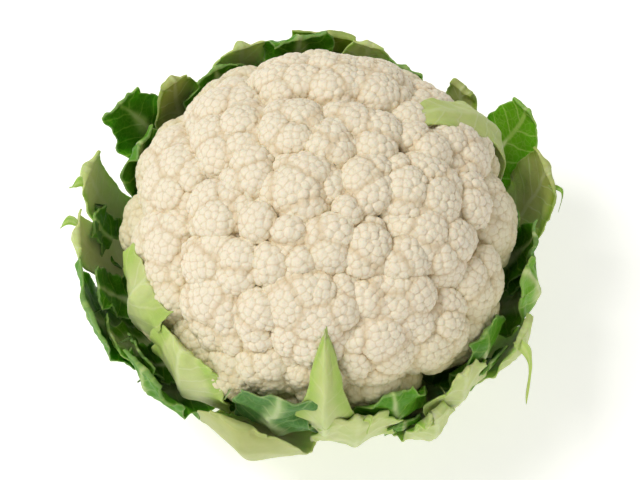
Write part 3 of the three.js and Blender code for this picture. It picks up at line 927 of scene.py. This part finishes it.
def stalk_material():
    """Pale green skin with fine fibres. The cut face is whitish with a darker ring."""
    material, tree, shader = new_material("stalk")
    places, x, y, height = object_places(tree)
    square = calculated(tree, "MULTIPLY", x, x)
    square = calculated(tree, "ADD", square, calculated(tree, "MULTIPLY", y, y))
    radius = calculated(tree, "SQRT", square)
    ring = calculated(tree, "ABSOLUTE", calculated(tree, "SUBTRACT", radius, PITH_RADIUS))
    mottle = noise_value(tree, places, 220.0)
    cut = blended(tree, mapped(tree, mottle, 0.35, 0.7, 0.0, 0.5), PITH, PITH_SHADE)
    cut = blended(tree, mapped(tree, ring, 1.4 * MM, 0.2 * MM, 0.0, 0.6), cut, PITH_RING)
    skin = blended(tree, mapped(tree, mottle, 0.3, 0.7), STALK_SKIN, STALK_SHADE)
    face = mapped(tree, height, 1.2 * MM, 0.5 * MM)
    tree.links.new(blended(tree, face, skin, cut), shader.inputs["Base Color"])
    shader.inputs["Roughness"].default_value = 0.55
    roughen(tree, shader, noise_value(tree, places, 900.0), 0.4, 0.5 * MM)
    return material


FOOT_FLESH = (0.66, 0.70, 0.46)
FLESH_VEIN = (0.72, 0.76, 0.48)
DRY_RIM = (0.62, 0.68, 0.38)

# The rib, then the blade's inner face and its outer face.
LEAF_COLOURS = {
    "leaf_pale": ((0.55, 0.63, 0.23), (0.26, 0.44, 0.04), (0.38, 0.52, 0.12)),
    "leaf_olive": ((0.42, 0.46, 0.13), (0.22, 0.32, 0.02), (0.29, 0.37, 0.08)),
    "leaf_bright": ((0.46, 0.60, 0.16), (0.12, 0.32, 0.008), (0.18, 0.40, 0.03)),
    "leaf_dark": ((0.28, 0.46, 0.07), (0.05, 0.19, 0.003), (0.08, 0.25, 0.01)),
    "leaf_bluish": ((0.32, 0.48, 0.16), (0.045, 0.14, 0.025), (0.08, 0.21, 0.045)),
}


def calculated(tree, operation, first, second=0.0):
    """One step of arithmetic. Each term is a number or a socket."""
    node = tree.nodes.new("ShaderNodeMath")
    node.operation = operation
    for socket, term in zip(node.inputs, (first, second)):
        if isinstance(term, bpy.types.NodeSocket):
            tree.links.new(term, socket)
        else:
            socket.default_value = term
    return node.outputs[0]


def vein_group(spacing):
    """A node group that gives 1 on a leaf's veins: side veins in pairs and a fine net between."""
    group = bpy.data.node_groups.new("leaf veins", "ShaderNodeTree")
    group.interface.new_socket("Vein", in_out="OUTPUT", socket_type="NodeSocketFloat")
    group.interface.new_socket("Net", in_out="OUTPUT", socket_type="NodeSocketFloat")
    places = group.nodes.new("ShaderNodeTexCoord").outputs["Object"]
    along, across = attribute(group, "along"), attribute(group, "across")
    lean = calculated(group, "MULTIPLY", calculated(group, "ABSOLUTE", across), 0.78)
    wander = calculated(group, "MULTIPLY", noise_value(group, places, 55.0), 7.0)
    pair = calculated(group, "MULTIPLY", calculated(group, "GREATER_THAN", across, 0.0), 3.5)
    place = calculated(group, "SUBTRACT", calculated(group, "ADD", along, wander), lean)
    place = calculated(group, "ADD", place, pair)
    gap = calculated(group, "PINGPONG", place, 0.5 * spacing)
    side = mapped(group, gap, 0.75, 0.1)
    middle = mapped(group, calculated(group, "ABSOLUTE", across), 1.6, 0.5)
    edges = group.nodes.new("ShaderNodeTexVoronoi")
    edges.feature = "DISTANCE_TO_EDGE"
    edges.inputs["Scale"].default_value = 330.0
    group.links.new(places, edges.inputs["Vector"])
    out = group.nodes.new("NodeGroupOutput")
    vein = calculated(group, "MAXIMUM", side, middle)
    net = mapped(group, edges.outputs["Distance"], 0.1, 0.02)
    veined = attribute(group, "veined")
    group.links.new(calculated(group, "MULTIPLY", vein, veined), out.inputs["Vein"])
    group.links.new(calculated(group, "MULTIPLY", net, veined), out.inputs["Net"])
    return group


def leaf_material(slot, veins):
    """A fleshy rib that shades into a green blade with pale veins and a dry cut rim."""
    rib, inside, outside = LEAF_COLOURS[slot]
    material, tree, shader = new_material(slot)
    places = tree.nodes.new("ShaderNodeTexCoord").outputs["Object"]
    mottle = noise_value(tree, places, 90.0)
    fine = noise_value(tree, places, 700.0)
    face = attribute(tree, "outside")
    lines = tree.nodes.new("ShaderNodeGroup")
    lines.node_tree = veins
    vein, net = lines.outputs["Vein"], lines.outputs["Net"]
    blade = blended(tree, face, inside, outside)
    lighter = tuple(1.6 * channel for channel in inside)
    blade = blended(tree, mapped(tree, mottle, 0.35, 0.75, 0.0, 0.35), blade, lighter)
    blade = blended(tree, mapped(tree, net, 0.0, 1.0, 0.0, 0.16), blade, rib)
    blade = blended(tree, mapped(tree, vein, 0.0, 1.0, 0.0, 0.5), blade, rib)
    raised = mapped(tree, attribute(tree, "along"), 20.0, 110.0)
    flesh = blended(tree, raised, FOOT_FLESH, rib)
    flesh = blended(tree, mapped(tree, mottle, 0.4, 0.7, 0.0, 0.25), flesh, inside)
    flesh = blended(tree, mapped(tree, vein, 0.0, 1.0, 0.0, 0.35), flesh, FLESH_VEIN)
    colour = blended(tree, attribute(tree, "green"), flesh, blade)
    cut = mapped(tree, attribute(tree, "rim"), 0.8, 0.1, 0.0, 0.22)
    colour = blended(tree, cut, colour, DRY_RIM)
    tree.links.new(colour, shader.inputs["Base Color"])
    shader.inputs["Roughness"].default_value = 0.5
    shader.inputs["Specular IOR Level"].default_value = 0.15
    shader.inputs["Subsurface Weight"].default_value = 0.3
    shader.inputs["Subsurface Radius"].default_value = (0.6, 1.0, 0.12)
    shader.inputs["Subsurface Scale"].default_value = 4.0 * MM
    relief = calculated(tree, "ADD", fine, calculated(tree, "MULTIPLY", vein, 0.6))
    relief = calculated(tree, "SUBTRACT", relief, calculated(tree, "MULTIPLY", net, 0.3))
    roughen(tree, shader, relief, 0.35, 0.4 * MM)
    return material


def noise_value(tree, places, scale):
    """Smooth noise from 0 to 1 over the object."""
    node = tree.nodes.new("ShaderNodeTexNoise")
    node.inputs["Scale"].default_value = scale
    node.inputs["Detail"].default_value = 3.0
    tree.links.new(places, node.inputs["Vector"])
    return node.outputs["Fac"]


# ------------------------------------------------------------------------------------
# Operators
# ------------------------------------------------------------------------------------


class CAULIFLOWER_OT_florets(bpy.types.Operator):
    """Model every floret of the curd"""

    bl_idname = "cauliflower.florets"
    bl_label = "Florets"

    def execute(self, context):
        curd = context.scene.cauliflower_curd
        envelope = curd_envelope()
        material = curd_material(curd)
        for node in FLORETS:
            model_floret(node, envelope, curd, material)
        return {"FINISHED"}


class CAULIFLOWER_OT_stalk(bpy.types.Operator):
    """Model the cut stalk"""

    bl_idname = "cauliflower.stalk"
    bl_label = "Stalk"

    def execute(self, context):
        model_stalk("stalk", stalk_material())
        return {"FINISHED"}


class CAULIFLOWER_OT_leaves(bpy.types.Operator):
    """Model every leaf of the collar"""

    bl_idname = "cauliflower.leaves"
    bl_label = "Leaves"

    def execute(self, context):
        settings = context.scene.cauliflower_leaves
        ring = curd_ring()
        veins = vein_group(settings.vein_spacing / MM)
        materials = {slot: leaf_material(slot, veins) for slot in LEAF_COLOURS}
        for node in LEAVES:
            model_leaf(node, ring, settings, materials)
        for node, (turned, slot) in INNER_BLADES.items():
            model_inner_blade(node, turned, slot, ring, settings, materials)
        for name, (node, start, turned, size, slot) in SHREDS.items():
            model_shred(name, node, start, turned, size, slot, ring, materials)
        return {"FINISHED"}


class CAULIFLOWER_OT_stage(bpy.types.Operator):
    """Lay a pale floor, hang soft lights and set up the camera"""

    bl_idname = "cauliflower.stage"
    bl_label = "Stage"

    def execute(self, context):
        settings = context.scene.cauliflower_stage
        make_floor()
        make_lights()
        make_camera(settings)
        return {"FINISHED"}


SKY_STRENGTH = 0.46
LIT_PLACE = (0, 0, 0.06)
KEY_PLACE = (-0.8, 0.1, 1.4)
KEY_POWER = 12.5
FILL_PLACE = (0.2, -1.3, 0.9)
FILL_POWER = 3.0
CAMERA_TARGET = (0, 0, 0.072)


def make_floor():
    """A wide white floor at the height of the cut stalk."""
    shape = bmesh.new()
    bmesh.ops.create_grid(shape, x_segments=2, y_segments=2, size=3.0)
    mesh = bpy.data.meshes.new("floor")
    shape.to_mesh(mesh)
    shape.free()
    floor = link_piece("floor", mesh)
    material, _, shader = new_material("floor")
    shader.inputs["Base Color"].default_value = (0.95, 0.95, 0.94, 1.0)
    shader.inputs["Roughness"].default_value = 0.9
    shader.inputs["Emission Color"].default_value = (1.0, 1.0, 0.98, 1.0)
    shader.inputs["Emission Strength"].default_value = 0.4
    floor.data.materials.append(material)


def add_area_light(name, place, target, size, power, colour):
    """A soft square light that faces a target."""
    data = bpy.data.lights.new(name, "AREA")
    data.size = size
    data.energy = power
    data.color = colour
    light = bpy.data.objects.new(name, data)
    light.location = place
    light.rotation_mode = "QUATERNION"
    light.rotation_quaternion = (Vector(target) - Vector(place)).to_track_quat("-Z", "Y")
    bpy.context.scene.collection.objects.link(light)


def make_lights():
    """A soft key light from the upper left, a weak fill from the front and a pale sky."""
    world = bpy.data.worlds.new("sky")
    world.use_nodes = True
    sky = world.node_tree.nodes["Background"]
    sky.inputs["Color"].default_value = (1.0, 0.985, 0.95, 1.0)
    sky.inputs["Strength"].default_value = SKY_STRENGTH
    bpy.context.scene.world = world
    add_area_light("key", KEY_PLACE, LIT_PLACE, 0.6, KEY_POWER, (1.0, 0.99, 0.96))
    add_area_light("fill", FILL_PLACE, LIT_PLACE, 0.8, FILL_POWER, (1.0, 0.98, 0.94))
    bpy.context.scene.view_settings.view_transform = "Standard"


def make_camera(settings):
    """The camera looks down on the head from the front."""
    target = Vector(CAMERA_TARGET)
    back = Vector((0, -math.cos(settings.elevation), math.sin(settings.elevation)))
    data = bpy.data.cameras.new("camera")
    data.lens = settings.lens
    data.sensor_width = 36.0
    data.clip_start = 0.01
    camera = bpy.data.objects.new("camera", data)
    camera.location = target + back * settings.distance
    camera.rotation_mode = "QUATERNION"
    camera.rotation_quaternion = (-back).to_track_quat("-Z", "Y")
    bpy.context.scene.collection.objects.link(camera)
    bpy.context.scene.camera = camera


# ------------------------------------------------------------------------------------
# Panel and registration
# ------------------------------------------------------------------------------------


class CAULIFLOWER_PT_panel(bpy.types.Panel):
    """Lists the settings and operators in the sidebar"""

    bl_label = "Cauliflower"
    bl_space_type = "VIEW_3D"
    bl_region_type = "UI"
    bl_category = "Cauliflower"

    def draw(self, context):
        for group in ("cauliflower_curd", "cauliflower_leaves", "cauliflower_stage"):
            settings = getattr(context.scene, group)
            for name in settings.__annotations__:
                self.layout.prop(settings, name)
        for operator in OPERATORS:
            self.layout.operator(operator.bl_idname)


OPERATORS = (
    CAULIFLOWER_OT_stalk,
    CAULIFLOWER_OT_florets,
    CAULIFLOWER_OT_leaves,
    CAULIFLOWER_OT_stage,
)
CLASSES = (CurdSettings, LeafSettings, StageSettings, *OPERATORS, CAULIFLOWER_PT_panel)


def register():
    for cls in CLASSES:
        bpy.utils.register_class(cls)
    bpy.types.Scene.cauliflower_curd = PointerProperty(type=CurdSettings)
    bpy.types.Scene.cauliflower_leaves = PointerProperty(type=LeafSettings)
    bpy.types.Scene.cauliflower_stage = PointerProperty(type=StageSettings)


def unregister():
    del bpy.types.Scene.cauliflower_stage
    del bpy.types.Scene.cauliflower_leaves
    del bpy.types.Scene.cauliflower_curd
    for cls in reversed(CLASSES):
        bpy.utils.unregister_class(cls)


def main():
    register()
    bpy.ops.cauliflower.stalk()
    bpy.ops.cauliflower.florets()
    bpy.ops.cauliflower.leaves()
    bpy.ops.cauliflower.stage()


if __name__ == "__main__":
    main()
